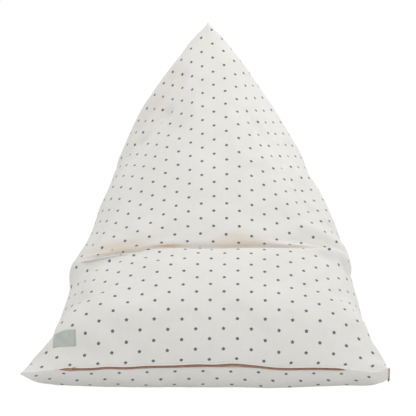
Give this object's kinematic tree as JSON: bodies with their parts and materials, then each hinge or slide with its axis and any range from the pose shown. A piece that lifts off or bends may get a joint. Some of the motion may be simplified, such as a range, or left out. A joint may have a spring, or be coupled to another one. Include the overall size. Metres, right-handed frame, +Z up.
{
  "type": "bean bag",
  "caption": "Floor bean bag in star printed cotton, sewn as a folded tube with a low seat, a leaning pointed backrest and a zip along the front seam.",
  "frame": {"origin": "on the floor, under the middle of the bag's bounding box", "axes": "+Z up, +Y from the front seam to the back, +X to the right as seen from the front, which is the side with the zip"},
  "size_m": [0.7408, 1.0156, 0.716],
  "materials": {
    "cotton": "plain woven off-white cotton with small slate grey stars",
    "zip_tape": "copper brown zip tape and coil",
    "zip_metal": "copper brown lacquer",
    "label_weave": "grey-green ribbed weave",
    "tan_tape": "tan woven tape"
  },
  "bodies": {
    "root": {"cover": "cotton", "zip": "zip_tape", "zip_slider": "zip_metal", "zip_puller": "zip_metal", "label": "label_weave", "corner_tab": "tan_tape"}
  },
  "joints": []
}
